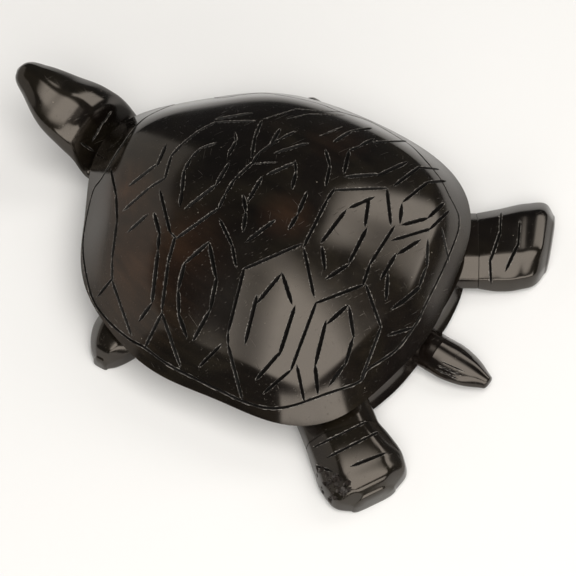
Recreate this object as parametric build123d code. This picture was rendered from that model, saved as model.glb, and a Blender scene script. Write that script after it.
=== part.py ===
from build123d import *
import os
from math import atan2, cos, hypot, pi, radians, sin, sqrt, tan

# A carved turtle, head towards -Y and its left side towards +X.
# The outline of the shell is laid out about the middle of the shell; at the end every piece
# moves by the same amount, so that the origin lies under the middle of the footprint.

# Shell: outline, heights and dome
shell_radius = 48.2            # mean radius of the rim
rim_height = 11.5              # ground to the sharp rim of the shell
under_edge_height = 1.5        # height of the bevel below the rim
under_edge_inset = 2.1         # how far that bevel draws in
dome_rise = 18.0               # rim to the top of the dome
outline_count = 32             # points round one outline
# The hand-cut rim departs from a circle by waves: even ones the same on both sides, and leaning ones.
rim_even_shares = {1: -0.012, 2: 0.030, 3: -0.044, 4: -0.014, 5: -0.020, 6: 0.012, 8: 0.009}
rim_lean_shares = {1: -0.004, 3: 0.006, 4: 0.021, 7: -0.009}
dome_section_shares = (1.0, 0.95, 0.87, 0.8, 0.65, 0.45, 0.22)
dome_fullness_share = 0.6      # exponent of the dome's profile
band_share = 0.8               # of the rim's radius, where the dome turns down into its marginal band
band_slope = 47.0              # of that band at the rim, in degrees

# Carved pattern of the shell. Its lines are read in a photograph of 576 x 576 pixels, seen from
# a place given in degrees and in shares of the shell's radius, and are put back on the dome.
cut_depth = 0.5                # of the deepest cuts
cut_slope_share = 1.05         # half width of a cut over its depth
cut_wheel_radius = 5.5         # of the V-edged wheel that made the cuts
cut_overshoot_px = 2.0         # how far a cut runs on past its corners
cut_rise_share = 0.24          # how far the cutters stand out of the dome, in the cuts' overrun
border_depth_share = 0.85      # of the borders between plates, in the depth of the deepest cuts
margin_depth_share = 0.7       # of the line round the shell
longest_ramp_share = 0.45      # of one end of a cut, in its length
normal_step_share = 0.002      # step for the dome's slope, in the shell's radius
halvings = 36                  # when a pixel is put back on the dome
view_azimuth = 126.0
view_elevation = 58.0
view_distance_share = 12.448
view_focal_px = 2400.0
shell_middle_px = (272.0, 245.3)

# Each line is a run of straight cuts: first the borders of the plates, then the cuts inside them
long_cuts_px = (
    ((111, 171), (116, 195), (117, 220), (112, 259), (112, 281)),
    ((112, 281), (131, 335)),
    ((112, 279), (98, 296)),
    ((124, 210), (149, 188), (165, 178), (171, 156), (182, 144), (200, 130), (216, 122), (254, 121)),
    ((160, 191), (170, 232), (175, 237), (168, 263), (162, 309), (162, 314), (180, 366)),
    ((162, 313), (145, 347)),
    ((177, 238), (219, 208), (225, 195), (234, 180), (252, 163)),
    ((220, 220), (232, 245), (236, 266)),
    ((252, 164), (259, 153), (280, 139), (294, 132)),
    ((261, 122), (255, 137), (252, 156)),
    ((301, 244), (244, 269), (228, 332), (228, 345), (242, 399)),
    ((221, 345), (200, 366)),
    ((334, 189), (327, 200), (304, 246)),
    ((304, 249), (314, 296)),
    ((316, 303), (363, 285), (370, 264), (394, 227)),
    ((316, 303), (291, 370), (264, 393)),
    ((297, 366), (304, 400)),
    ((366, 285), (381, 327), (361, 380)),
    ((334, 190), (386, 188)),
    ((326, 151), (330, 166), (326, 185)),
    ((393, 240), (430, 229), (448, 212)),
    ((389, 335), (412, 328)),
    ((442, 229), (449, 261)),
    ((404, 201), (428, 182), (444, 181)),
    ((395, 185), (419, 167), (437, 169)),
    ((374, 142), (404, 141)),
)

short_cuts_px = (
    ((129, 186), (157, 164)),
    ((157, 166), (166, 145)),
    ((180, 206), (182, 190)),
    ((182, 192), (184, 170)),
    ((184, 171), (191, 158), (201, 148), (216, 143)),
    ((235, 133), (236, 141), (228, 156)),
    ((229, 163), (216, 185), (185, 209)),
    ((216, 119), (252, 113)),
    ((271, 144), (280, 129)),
    ((275, 153), (308, 143)),
    ((128, 232), (148, 214)),
    ((154, 213), (160, 235)),
    ((159, 234), (158, 250)),
    ((158, 250), (152, 303)),
    ((152, 303), (139, 321)),
    ((185, 263), (209, 242)),
    ((209, 243), (216, 278)),
    ((217, 276), (210, 311)),
    ((210, 310), (193, 341)),
    ((185, 262), (178, 290), (179, 315)),
    ((178, 313), (187, 338)),
    ((257, 303), (281, 274)),
    ((282, 273), (292, 304)),
    ((295, 306), (279, 356)),
    ((280, 352), (256, 380)),
    ((257, 295), (245, 344)),
    ((262, 177), (248, 201)),
    ((243, 195), (246, 212), (243, 231)),
    ((246, 242), (275, 220)),
    ((267, 175), (294, 163)),
    ((295, 161), (296, 172), (292, 189)),
    ((307, 192), (298, 214), (289, 229)),
    ((349, 208), (374, 197)),
    ((369, 198), (365, 226)),
    ((346, 210), (321, 243)),
    ((322, 246), (325, 270)),
    ((326, 279), (349, 264)),
    ((349, 263), (367, 228)),
    ((327, 324), (348, 305)),
    ((349, 306), (354, 338)),
    ((353, 338), (345, 366)),
    ((345, 364), (329, 386)),
    ((326, 321), (315, 366)),
    ((315, 364), (318, 394)),
    ((402, 204), (400, 223)),
    ((402, 225), (428, 218), (444, 203)),
    ((398, 254), (420, 240)),
    ((428, 240), (427, 268)),
    ((426, 268), (419, 287)),
    ((420, 286), (400, 305)),
    ((396, 254), (381, 279)),
    ((388, 273), (386, 300)),
    ((392, 309), (420, 288)),
    ((387, 189), (391, 225)),
    ((345, 177), (378, 174)),
    ((377, 176), (407, 162)),
    ((344, 173), (349, 151), (360, 146), (373, 139)),
    ((334, 142), (351, 131), (371, 128)),
)

# The line round the shell that sets its marginal plates apart
margin_line_px = (
    (140, 122), (120, 148), (101, 179), (92, 194), (83, 240), (86, 274), (94, 302), (110, 323),
    (129, 339), (145, 348), (167, 364), (192, 377), (221, 391), (242, 401), (267, 408), (291, 406),
    (326, 394), (359, 382), (368, 369), (395, 351), (416, 324), (426, 304), (438, 280), (448, 258),
    (456, 238), (459, 226), (458, 213), (449, 195), (443, 183), (437, 174), (417, 151), (401, 139),
    (369, 121), (341, 112), (320, 104), (291, 97), (259, 93), (224, 97.5), (207, 98), (180, 103),
    (160, 110),
)

# Body block under the shell: each overhang is from the rim in to the top of the block
belly_height = 1.5             # ground to the belly
flank_overhang = 11.9          # at the sides, between the legs
front_overhang = 7.6
rear_overhang = 1.6
cove_depth = 1.6               # how far the side draws in half way up
waist_flare = 0.5              # how far the rear of the side spreads half way up
skirt_flare = 1.9              # and at the belly

# Points of half the block's outline, as shares of half the flank width and of its reach
block_rear_shares = ((0.0, 1.0), (0.42, 0.985), (0.78, 0.90), (0.96, 0.70), (1.0, 0.38), (1.0, 0.0))
block_front_shares = ((0.96, 0.36), (0.86, 0.62), (0.62, 0.84), (0.30, 0.97), (0.0, 1.0))

# Cross-section of every limb: shares of its half width, and of its height from the bottom
leg_outline_shares = ((0.80, 0.0), (1.0, 0.22), (0.93, 0.62), (0.50, 1.0))
head_outline_shares = ((0.55, 0.0), (1.0, 0.42), (0.85, 0.72), (0.34, 1.0))
tail_outline_shares = ((0.80, 0.0), (1.0, 0.35), (0.40, 1.0))

# Rear legs: seats past the rim, then stations along the leg. The two were cut by eye and differ.
rear_left_angle = 35.0         # of the seat round the shell, away from straight back, in degrees
rear_left_reach = 1.7          # how far past the rim the seat lies
rear_left_drift = -5.0         # way the leg runs, away from the seat's normal, in degrees
rear_left_twist = -9.0         # turn of the foot's end against the seat, in degrees
rear_left_length = 18.0
rear_left_half_width = 10.0
rear_right_angle = 39.2
rear_right_reach = 2.3
rear_right_drift = 11.0
rear_right_twist = -10.0
rear_right_length = 20.0
rear_right_half_width = 11.2
rear_seat_turn = 35.0          # seats' normal, away from straight back, in degrees
rear_leg_height = 9.6
rear_collar_length = 9.0       # stub of the body behind the seat
# shares of length, half width and height at each station, and of the belly height below
rear_left_shares = (
    (0.0, 0.95, 1.00, 1.0),
    (0.28, 0.98, 1.02, -0.4),
    (0.62, 1.02, 0.95, -0.4),
    (0.86, 0.88, 0.76, -0.4),
    (1.0, 0.60, 0.46, -0.4),
)
rear_right_shares = (
    (0.0, 0.95, 1.00, 1.0),
    (0.28, 0.98, 1.02, -0.4),
    (0.60, 1.02, 0.98, -0.4),
    (0.86, 0.94, 0.84, -0.4),
    (1.0, 0.74, 0.52, -0.4),
)

# Front legs, seated on the flanks
front_seat_ahead = 18.8        # middle of the shell to the seats, forwards
front_seat_turn = 86.0
front_leg_length = 14.4
front_leg_half_width = 7.0
front_leg_height = 8.6
front_collar_length = 6.0
front_leg_shares = (
    (0.0, 1.0, 1.0, 1.0),
    (0.24, 1.02, 1.0, -0.4),
    (0.50, 0.96, 0.94, -0.4),
    (0.84, 0.56, 0.74, -0.4),
    (1.0, 0.30, 0.46, -0.4),
)

# Head and neck
neck_under_rim = 5.0           # how far behind the rim the neck is seated
neck_side = -1.8               # how far the neck sits to one side of the middle
neck_half_width = 9.4
neck_height = 7.6
neck_bottom = 2.2              # ground to the neck's underside at the seat
neck_collar_length = 6.0
head_length = 31.8             # seat to the tip of the snout
head_half_width = 9.6
head_depth = 12.0              # deepest cross-section
snout_lift = 21.0              # ground to the underside of the snout's tip
# shares of length, half width and depth, and of the way up from the neck to the snout
head_shares = (
    (0.165, 1.02, 0.62, 0.02),
    (0.215, 1.08, 1.06, 0.14),
    (0.36, 1.02, 1.10, 0.33),
    (0.58, 0.88, 0.90, 0.59),
    (0.80, 0.62, 0.65, 0.82),
    (0.95, 0.34, 0.32, 0.97),
    (1.0, 0.18, 0.13, 1.0),
)

# Tail
tail_reach = 2.3               # how far past the rim the tail is seated
tail_seat_side = -2.6          # the tail sits a little to one side
tail_length = 14.8
tail_half_width = 5.1
tail_height = 6.0
tail_sweep = -1.0              # how far the tip lies to one side of the seat
tail_collar_length = 8.0
tail_shares = (
    (0.0, 1.0, 1.0, 0.0),
    (0.55, 0.68, 0.72, 0.50),
    (1.0, 0.22, 0.34, 1.0),
)

# Pegs and their bores
peg_diameter = 3.0
peg_clearance = 0.05           # on the radius
peg_end_clearance = 0.5        # air past each end of a peg
leg_peg_depth = 6.0            # into each of the two pieces
neck_peg_depth = 6.0
tail_peg_depth = 5.0
shell_peg_depth = 6.0
shell_peg_spacing = 48.0
peg_height = 5.4               # ground to the pegs of the limbs
neck_peg_height = 6.0
tail_peg_height = 4.4

cut_overrun = 5.0

under_height = rim_height - under_edge_height
dome_top = rim_height + dome_rise


def rim_radius(angle):
    """Distance from the middle of the shell to its rim; angle 0 is straight back."""
    even = sum(share * cos(order * angle) for order, share in rim_even_shares.items())
    lean = sum(share * sin(order * angle) for order, share in rim_lean_shares.items())
    return shell_radius * (1 + even + lean)


def past_rim(angle, reach):
    """Point on the ground past the rim, at an angle in degrees away from straight back."""
    turn = radians(angle)
    radius = rim_radius(turn) + reach
    return Vector(radius * sin(turn), radius * cos(turn), 0)


rim_half_width = (rim_radius(pi / 2) + rim_radius(-pi / 2)) / 2
flank_half_width = rim_half_width - flank_overhang
block_front = rim_radius(pi) - front_overhang
block_rear = rim_radius(0) - rear_overhang
neck_seat_ahead = rim_radius(pi) - neck_under_rim
tail_seat_back = rim_radius(0) + tail_reach


def shell_outline(share, inset, height):
    """Closed outline of the shell, drawn in by a share of its size and by an inset."""
    points = []
    for index in range(outline_count):
        angle = 2 * pi * index / outline_count
        radius = rim_radius(angle) * share - inset
        points.append(Vector(radius * sin(angle), radius * cos(angle), height))
    return Face(Wire(Edge.make_spline(points, periodic=True)))


def block_outline(draw_in, flare, height):
    """Closed outline of the body block, drawn in all round and spread at its rear."""
    half_width = flank_half_width - draw_in
    rear = block_rear - draw_in + flare
    front = block_front - draw_in
    left = [Vector(half_width * x, rear * y, height) for x, y in block_rear_shares]
    left += [Vector(half_width * x, -front * y, height) for x, y in block_front_shares]
    right = [Vector(-point.X, point.Y, height) for point in left[-2:0:-1]]
    return Face(Wire(Edge.make_spline(left + right, periodic=True)))


def limb_section(outline_shares, half_width, bottom, top):
    """Many-sided cross-section in a plane whose x runs sideways and y runs up."""
    right = [(half_width * x, bottom + (top - bottom) * y) for x, y in outline_shares]
    left = [(-x, y) for x, y in reversed(right)]
    return Polyline(*right, *left, close=True)


def section_plane(side, back, turn):
    """Upright plane on the ground whose normal points outwards, turned from straight back."""
    outwards = Vector(sin(radians(turn)), cos(radians(turn)), 0)
    return Plane(origin=(side, back, 0), x_dir=outwards.rotate(Axis.Z, 90), z_dir=outwards)


def loft_sections(placed_sections):
    faces = [Face(Wire((plane * outline).edges())) for plane, outline in placed_sections]
    return loft(faces, ruled=True)


def above_ground(solid):
    """Cut a limb's sole flat where it meets the ground."""
    size = solid.bounding_box().size + Vector(1, 1, 1) * cut_overrun
    centre = solid.bounding_box().center()
    ground = Pos(centre.X, centre.Y, -size.Z / 2) * Box(size.X, size.Y, size.Z)
    return solid - ground


class Leg:
    """Where one leg sits on the body, and the stations along it."""

    def __init__(self, place, turn, drift, twist, length, half_width, height, shares, collar):
        self.place = place
        self.turn = turn
        self.drift = drift
        self.twist = twist
        self.length = length
        self.half_width = half_width
        self.height = height
        self.shares = shares
        self.collar = collar

    def seat(self):
        return section_plane(self.place.X, self.place.Y, self.turn)

    def outline(self, width_share, height_share, bottom_share):
        bottom = belly_height * bottom_share
        return limb_section(
            leg_outline_shares, self.half_width * width_share, bottom, self.height * height_share
        )

    def solid(self):
        """The leg from its seat to the end of its foot, twisting as it goes."""
        placed = []
        way = radians(self.turn + self.drift)
        for length_share, width_share, height_share, bottom_share in self.shares:
            run = self.length * length_share
            plane = section_plane(
                self.place.X + run * sin(way),
                self.place.Y + run * cos(way),
                self.turn + self.twist * length_share,
            )
            placed.append((plane, self.outline(width_share, height_share, bottom_share)))
        return above_ground(loft_sections(placed))

    def collar_solid(self):
        """The stub of the body that the leg is glued to."""
        outline = self.outline(*self.shares[0][1:])
        root = self.seat().offset(-self.collar)
        return loft_sections([(root, outline), (self.seat(), outline)])

    def peg_centre(self):
        return self.place + Vector(0, 0, peg_height)

    def peg_direction(self):
        return self.seat().z_dir


def front_leg(side, turn):
    return Leg(
        place=Vector(side, -front_seat_ahead, 0),
        turn=turn,
        drift=0,
        twist=0,
        length=front_leg_length,
        half_width=front_leg_half_width,
        height=front_leg_height,
        shares=front_leg_shares,
        collar=front_collar_length,
    )


legs = {
    "rear_left_leg": Leg(
        place=past_rim(rear_left_angle, rear_left_reach),
        turn=rear_seat_turn,
        drift=rear_left_drift,
        twist=rear_left_twist,
        length=rear_left_length,
        half_width=rear_left_half_width,
        height=rear_leg_height,
        shares=rear_left_shares,
        collar=rear_collar_length,
    ),
    "rear_right_leg": Leg(
        place=past_rim(-rear_right_angle, rear_right_reach),
        turn=-rear_seat_turn,
        drift=-rear_right_drift,
        twist=-rear_right_twist,
        length=rear_right_length,
        half_width=rear_right_half_width,
        height=rear_leg_height,
        shares=rear_right_shares,
        collar=rear_collar_length,
    ),
    "front_left_leg": front_leg(flank_half_width, front_seat_turn),
    "front_right_leg": front_leg(-flank_half_width, -front_seat_turn),
}

neck_seat = Vector(neck_side, -neck_seat_ahead, neck_peg_height)
tail_seat = Vector(tail_seat_side, tail_seat_back, tail_peg_height)


def neck_outline():
    return limb_section(
        head_outline_shares, neck_half_width, neck_bottom, neck_bottom + neck_height
    )


def tail_outline(width_share, height_share):
    return limb_section(
        tail_outline_shares,
        tail_half_width * width_share,
        belly_height,
        belly_height + tail_height * height_share,
    )


def peg_bore(centre, direction, depth):
    """Bore for a peg that reaches the same depth into both of its pieces."""
    length = 2 * (depth + peg_end_clearance)
    plane = Plane(origin=centre, z_dir=direction)
    return plane * Cylinder(peg_diameter / 2 + peg_clearance, length)


def peg(centre, direction, depth):
    return Plane(origin=centre, z_dir=direction) * Cylinder(peg_diameter / 2, 2 * depth)


def shell_peg_centres():
    half = shell_peg_spacing / 2
    return {
        "front_shell_peg": Vector(0, -half, under_height),
        "rear_shell_peg": Vector(0, half, under_height),
    }


def dome_profile(share):
    """Height of the dome over its rim, at a share of the rim's radius."""
    if share <= band_share:
        return dome_rise * (1 - share**2) ** dome_fullness_share
    start = dome_rise * (1 - band_share**2) ** dome_fullness_share
    start_fall = 2 * dome_fullness_share * band_share * start / (1 - band_share**2)
    end_fall = shell_radius * tan(radians(band_slope))
    width = 1 - band_share
    way = (share - band_share) / width
    blend = 2 * way**3 - 3 * way**2 + 1
    falls = start_fall * (way**3 - 2 * way**2 + way) + end_fall * (way**3 - way**2)
    return start * blend - width * falls


def dome_height(side, back):
    """Height over the ground of the dome's surface, at a place measured from the shell's middle."""
    share = min(hypot(side, back) / rim_radius(atan2(side, back)), 1)
    return rim_height + dome_profile(share)


def on_dome(pixel):
    """The point of the dome that a pixel of the photograph shows."""
    turn = radians(view_azimuth)
    lift = radians(view_elevation)
    towards_viewer = Vector(sin(turn) * cos(lift), -cos(turn) * cos(lift), sin(lift))
    right = Vector(cos(turn), sin(turn), 0)
    up = towards_viewer.cross(right)
    eye = Vector(0, 0, rim_height) + towards_viewer * view_distance_share * shell_radius
    across = (pixel[0] - shell_middle_px[0]) / view_focal_px
    down = (pixel[1] - shell_middle_px[1]) / view_focal_px
    ray = right * across - up * down - towards_viewer
    near = (dome_top - eye.Z) / ray.Z
    far = (rim_height - eye.Z) / ray.Z
    for _ in range(halvings):
        middle = (near + far) / 2
        place = eye + ray * middle
        if place.Z > dome_height(place.X, place.Y):
            near = middle
        else:
            far = middle
    return eye + ray * near


def dome_normal(place):
    """Outward direction of the dome at one of its points."""
    step = shell_radius * normal_step_share
    slopes = []
    for x, y in ((step, 0), (0, step)):
        ahead = dome_height(place.X + x, place.Y + y)
        behind = dome_height(place.X - x, place.Y - y)
        slopes.append((ahead - behind) / (2 * step))
    return Vector(-slopes[0], -slopes[1], 1).normalized()


def solid_of(corners, sides):
    """Solid with flat sides, each given by the numbers of its corners."""
    faces = [Face(Wire.make_polygon([corners[number] for number in side], close=True)) for side in sides]
    return Solid(Shell(faces))


def wheel_cut(start, end, depth_limit):
    """Cutter between two points of the dome: deep in the middle, running out at both ends."""
    chord = end - start
    along = chord.normalized()
    middle = (start + end) / 2
    normal = dome_normal(middle)
    up = (normal - along * normal.dot(along)).normalized()
    across = along.cross(up)
    bulge = (dome_height(middle.X, middle.Y) - middle.Z) * normal.Z
    deepest = min(depth_limit, (chord.length / 2) ** 2 / (2 * cut_wheel_radius))
    depth = max(deepest - bulge / 2, deepest / 2)
    ramp = min(sqrt(2 * cut_wheel_radius * depth), chord.length * longest_ramp_share)
    whole = depth + cut_overrun * cut_rise_share
    half = whole * cut_slope_share
    low = [start + along * ramp - up * depth, end - along * ramp - up * depth]
    run = along * ramp * whole / depth
    corners = [*low]
    corners += [low[0] + up * whole - across * half, low[1] + up * whole - across * half]
    corners += [low[1] + up * whole + run, low[1] + up * whole + across * half]
    corners += [low[0] + up * whole + across * half, low[0] + up * whole - run]
    sides = [(0, 1, 3, 2), (1, 0, 6, 5), (0, 2, 7), (7, 6, 0), (1, 4, 3), (1, 5, 4), (2, 3, 4, 5, 6, 7)]
    return solid_of(corners, sides)


def margin_cut(start, end):
    """Cutter for one straight run of the line round the shell."""
    middle = (start + end) / 2
    along = (end - start).normalized()
    normal = dome_normal(middle)
    up = (normal - along * normal.dot(along)).normalized()
    across = along.cross(up)
    depth = cut_depth * margin_depth_share
    whole = depth + cut_overrun * cut_rise_share
    ends = [start - along * depth - up * depth, end + along * depth - up * depth]
    corners = []
    for low in ends:
        corners += [low, low + up * whole - across * whole * cut_slope_share]
        corners.append(low + up * whole + across * whole * cut_slope_share)
    return solid_of(corners, [(0, 1, 2), (3, 5, 4), (0, 3, 4, 1), (1, 4, 5, 2), (2, 5, 3, 0)])


def shell_cuts():
    """Cutters for all lines of the shell's pattern."""
    cuts = []
    for table, depth_limit in (
        (long_cuts_px, cut_depth * border_depth_share),
        (short_cuts_px, cut_depth),
    ):
        for line in table:
            for first, last in zip(line, line[1:]):
                run = Vector(last[0] - first[0], last[1] - first[1], 0).normalized() * cut_overshoot_px
                start = on_dome((first[0] - run.X, first[1] - run.Y))
                end = on_dome((last[0] + run.X, last[1] + run.Y))
                cuts.append(wheel_cut(start, end, depth_limit))
    ring = [on_dome(pixel) for pixel in margin_line_px]
    cuts += [margin_cut(start, end) for start, end in zip(ring, ring[1:] + ring[:1])]
    return cuts


def make_carapace():
    """Domed shell with a sharp rim, a bevel below it and the carved pattern."""
    dome_faces = []
    for share in dome_section_shares:
        dome_faces.append(shell_outline(share, 0, rim_height + dome_profile(share)))
    dome = loft([*dome_faces, Vertex(0, 0, dome_top)])
    bevel = loft(
        [shell_outline(1, under_edge_inset, under_height), shell_outline(1, 0, rim_height)],
        ruled=True,
    )
    shell = (dome + bevel).cut(*shell_cuts())
    for centre in shell_peg_centres().values():
        shell -= peg_bore(centre, Vector(0, 0, 1), shell_peg_depth)
    return shell


def make_body_block():
    """Belly with hollowed sides, and the stubs that carry the limbs."""
    middle = (belly_height + under_height) / 2
    body = loft(
        [
            block_outline(cove_depth, cove_depth + skirt_flare, belly_height),
            block_outline(cove_depth, waist_flare, middle),
            block_outline(0, 0, under_height),
        ]
    )
    for leg in legs.values():
        body += leg.collar_solid()
    neck_plane = section_plane(neck_side, -neck_seat_ahead, 180)
    neck_root = neck_plane.offset(-neck_collar_length)
    body += loft_sections([(neck_root, neck_outline()), (neck_plane, neck_outline())])
    tail_plane = section_plane(tail_seat_side, tail_seat_back, 0)
    tail_root = tail_plane.offset(-tail_collar_length)
    stub_outline = tail_outline(*tail_shares[0][1:3])
    body += loft_sections([(tail_root, stub_outline), (tail_plane, stub_outline)])
    for leg in legs.values():
        body -= peg_bore(leg.peg_centre(), leg.peg_direction(), leg_peg_depth)
    body -= peg_bore(neck_seat, Vector(0, 1, 0), neck_peg_depth)
    body -= peg_bore(tail_seat, Vector(0, 1, 0), tail_peg_depth)
    for centre in shell_peg_centres().values():
        body -= peg_bore(centre, Vector(0, 0, 1), shell_peg_depth)
    return body


def make_leg(leg):
    return leg.solid() - peg_bore(leg.peg_centre(), leg.peg_direction(), leg_peg_depth)


def make_head():
    """Head and neck in one piece, rising from the seat under the rim to a blunt snout."""
    placed = [(section_plane(neck_side, -neck_seat_ahead, 180), neck_outline())]
    for length_share, width_share, depth_share, lift_share in head_shares:
        side = neck_side * (1 - length_share)
        plane = section_plane(side, -neck_seat_ahead - head_length * length_share, 180)
        bottom = neck_bottom + (snout_lift - neck_bottom) * lift_share
        top = bottom + head_depth * depth_share
        outline = limb_section(head_outline_shares, head_half_width * width_share, bottom, top)
        placed.append((plane, outline))
    return loft_sections(placed) - peg_bore(neck_seat, Vector(0, 1, 0), neck_peg_depth)


def make_tail():
    """Short pointed tail."""
    placed = []
    for length_share, width_share, height_share, sweep_share in tail_shares:
        side = tail_seat_side + tail_sweep * sweep_share
        plane = section_plane(side, tail_seat_back + tail_length * length_share, 0)
        placed.append((plane, tail_outline(width_share, height_share)))
    return loft_sections(placed) - peg_bore(tail_seat, Vector(0, 1, 0), tail_peg_depth)


def make_pieces():
    pieces = {
        "carapace": make_carapace(),
        "body_block": make_body_block(),
        "head_and_neck": make_head(),
        "tail": make_tail(),
        "neck_peg": peg(neck_seat, Vector(0, 1, 0), neck_peg_depth),
        "tail_peg": peg(tail_seat, Vector(0, 1, 0), tail_peg_depth),
    }
    for name, leg in legs.items():
        pieces[name] = make_leg(leg)
        pieces[name + "_peg"] = peg(leg.peg_centre(), leg.peg_direction(), leg_peg_depth)
    for name, centre in shell_peg_centres().items():
        pieces[name] = peg(centre, Vector(0, 0, 1), shell_peg_depth)
    return pieces


def main():
    pieces = make_pieces()
    box = Compound(list(pieces.values())).bounding_box()
    middle = box.center()
    to_origin = Pos(-middle.X, -middle.Y, -box.min.Z)
    os.makedirs("parts", exist_ok=True)
    for name, piece in pieces.items():
        export_step(to_origin * piece, f"parts/{name}.step")
    print("moved by", to_origin.position, "size", box.size)


if __name__ == "__main__":
    main()
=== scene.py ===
import math
import random
from dataclasses import dataclass

import bmesh
import bpy
import numpy as np
from bpy.props import FloatProperty, FloatVectorProperty, IntProperty, PointerProperty
from mathutils import Matrix, Vector
from mathutils.bvhtree import BVHTree


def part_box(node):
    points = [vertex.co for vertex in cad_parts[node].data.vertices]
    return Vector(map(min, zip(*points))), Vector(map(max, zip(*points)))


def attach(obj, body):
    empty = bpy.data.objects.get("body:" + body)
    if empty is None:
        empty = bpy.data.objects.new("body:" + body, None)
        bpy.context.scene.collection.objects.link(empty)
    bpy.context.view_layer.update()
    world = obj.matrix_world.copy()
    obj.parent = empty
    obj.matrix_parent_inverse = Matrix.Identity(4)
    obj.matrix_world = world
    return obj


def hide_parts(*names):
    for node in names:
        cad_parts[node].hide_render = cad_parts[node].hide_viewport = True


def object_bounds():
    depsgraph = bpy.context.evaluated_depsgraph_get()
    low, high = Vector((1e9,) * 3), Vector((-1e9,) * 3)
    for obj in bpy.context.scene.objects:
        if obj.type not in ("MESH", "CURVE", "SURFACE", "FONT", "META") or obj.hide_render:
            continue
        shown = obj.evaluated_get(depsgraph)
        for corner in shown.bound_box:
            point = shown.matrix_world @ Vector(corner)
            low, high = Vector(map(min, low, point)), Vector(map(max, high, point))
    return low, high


# A turtle carved from dark horn, head towards -Y and its left side towards +X.
# Lengths are in metres, written as millimetres times mm. Pixels are of a 576 x 576 picture.

bl_info = {
    "name": "Carved horn turtle",
    "version": (1, 0, 0),
    "blender": (4, 5, 0),
    "location": "View3D > Sidebar > Turtle",
    "description": "Dresses a figurine in polished horn and cuts the pattern of its shell",
    "category": "Object",
}

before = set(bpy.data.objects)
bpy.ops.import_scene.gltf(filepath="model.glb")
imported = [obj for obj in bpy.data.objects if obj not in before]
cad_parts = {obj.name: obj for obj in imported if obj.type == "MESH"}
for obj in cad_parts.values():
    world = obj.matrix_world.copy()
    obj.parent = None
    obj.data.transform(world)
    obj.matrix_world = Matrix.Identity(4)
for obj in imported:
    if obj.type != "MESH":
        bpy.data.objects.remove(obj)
cad_box = [list(corner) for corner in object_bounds()]
mm = 0.001

# The middle of the shell lies half way between its two pegs
peg_corners = (*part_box("front_shell_peg"), *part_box("rear_shell_peg"))
shell_middle = sum(peg_corners, Vector()) / len(peg_corners)
shell_ground = Vector((shell_middle.x, shell_middle.y, 0))

# Shell: the outline and the dome of the solid that it replaces
shell_radius = 48.2 * mm
rim_height = 11.5 * mm
under_edge_height = 1.5 * mm
under_edge_inset = 2.1 * mm
dome_rise = 18.0 * mm
dome_fullness_share = 0.6
band_share = 0.8
band_slope = 47.0
rim_even_shares = {1: -0.012, 2: 0.030, 3: -0.044, 4: -0.014, 5: -0.020, 6: 0.012, 8: 0.009}
rim_lean_shares = {1: -0.004, 3: 0.006, 4: 0.021, 7: -0.009}
shell_rings = 64
shell_spokes = 240
# Where the dome's normals are measured, as shares of the way to the rim, and over what step
normal_shares = (0.002, 0.9985)
normal_step = 0.0015
# Power of the share at which waves and ridges die out towards the rim
rim_fade = 6
# Blunt ridges where large plates meet
plate_ridge = 0.22 * mm
plate_ridge_reach = 4.5 * mm
# Long low waves that polishing by hand leaves: wavelength, heading in degrees, depth
polish_waves = (
    (31 * mm, 20, 0.05 * mm),
    (24 * mm, 75, 0.04 * mm),
    (19 * mm, 140, 0.03 * mm),
    (13 * mm, 105, 0.012 * mm),
)

# Limbs, as the solids that they stand for. Outlines have shares of half width and height, from
# the sole up. Stations have shares of length, half width and height, and of the belly's height
# below, or of the way up to the snout or sideways to the tail's tip.
belly_height = 1.5 * mm
under_height = rim_height - under_edge_height
leg_outline_shares = ((0.80, 0.0), (1.0, 0.22), (0.93, 0.62), (0.50, 1.0))
head_outline_shares = ((0.55, 0.0), (1.0, 0.42), (0.87, 0.70), (0.50, 0.93), (0.10, 1.02))
tail_outline_shares = ((0.80, 0.0), (1.0, 0.35), (0.40, 1.0))
rear_seat_turn = 35.0
rear_leg_height = 9.6 * mm
rear_left_shares = (
    (0.0, 0.95, 1.00, 1.0),
    (0.28, 1.00, 1.02, -0.4),
    (0.62, 1.04, 0.95, -0.4),
    (0.86, 0.88, 0.82, -0.4),
    (1.0, 0.58, 0.60, -0.4),
)
rear_right_shares = (
    (0.0, 0.95, 1.00, 1.0),
    (0.28, 1.03, 1.02, -0.4),
    (0.60, 1.09, 1.01, -0.4),
    (0.86, 1.0, 0.93, -0.4),
    (1.0, 0.74, 0.70, -0.4),
)
front_leg_shares = (
    (0.0, 1.0, 1.0, 1.0),
    (0.24, 1.02, 1.0, -0.4),
    (0.50, 0.96, 0.94, -0.4),
    (0.84, 0.56, 0.74, -0.4),
    (1.0, 0.30, 0.46, -0.4),
)
front_seat_ahead = 18.8 * mm
front_seat_turn = 86.0
neck_under_rim = 5.0 * mm
neck_side = -1.8 * mm
neck_half_width = 9.4 * mm
neck_height = 7.6 * mm
neck_bottom = 2.2 * mm
head_length = 31.8 * mm
head_half_width = 9.6 * mm
head_depth = 12.0 * mm
snout_lift = 21.0 * mm
head_shares = (
    (0.165, 1.03, 0.68, 0.02),
    (0.25, 1.05, 1.02, 0.17),
    (0.36, 1.06, 1.10, 0.33),
    (0.58, 0.90, 0.90, 0.59),
    (0.80, 0.57, 0.65, 0.82),
    (0.95, 0.29, 0.36, 0.955),
    (1.0, 0.15, 0.20, 0.985),
)
tail_reach = 2.3 * mm
tail_seat_side = -2.6 * mm
tail_length = 14.8 * mm
tail_half_width = 5.4 * mm
tail_height = 6.0 * mm
tail_sweep = -1.0 * mm
tail_shares = (
    (0.0, 1.0, 1.0, 0.0),
    (0.30, 1.0, 0.92, 0.25),
    (0.62, 0.80, 0.76, 0.55),
    (1.0, 0.36, 0.42, 1.0),
)

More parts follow.
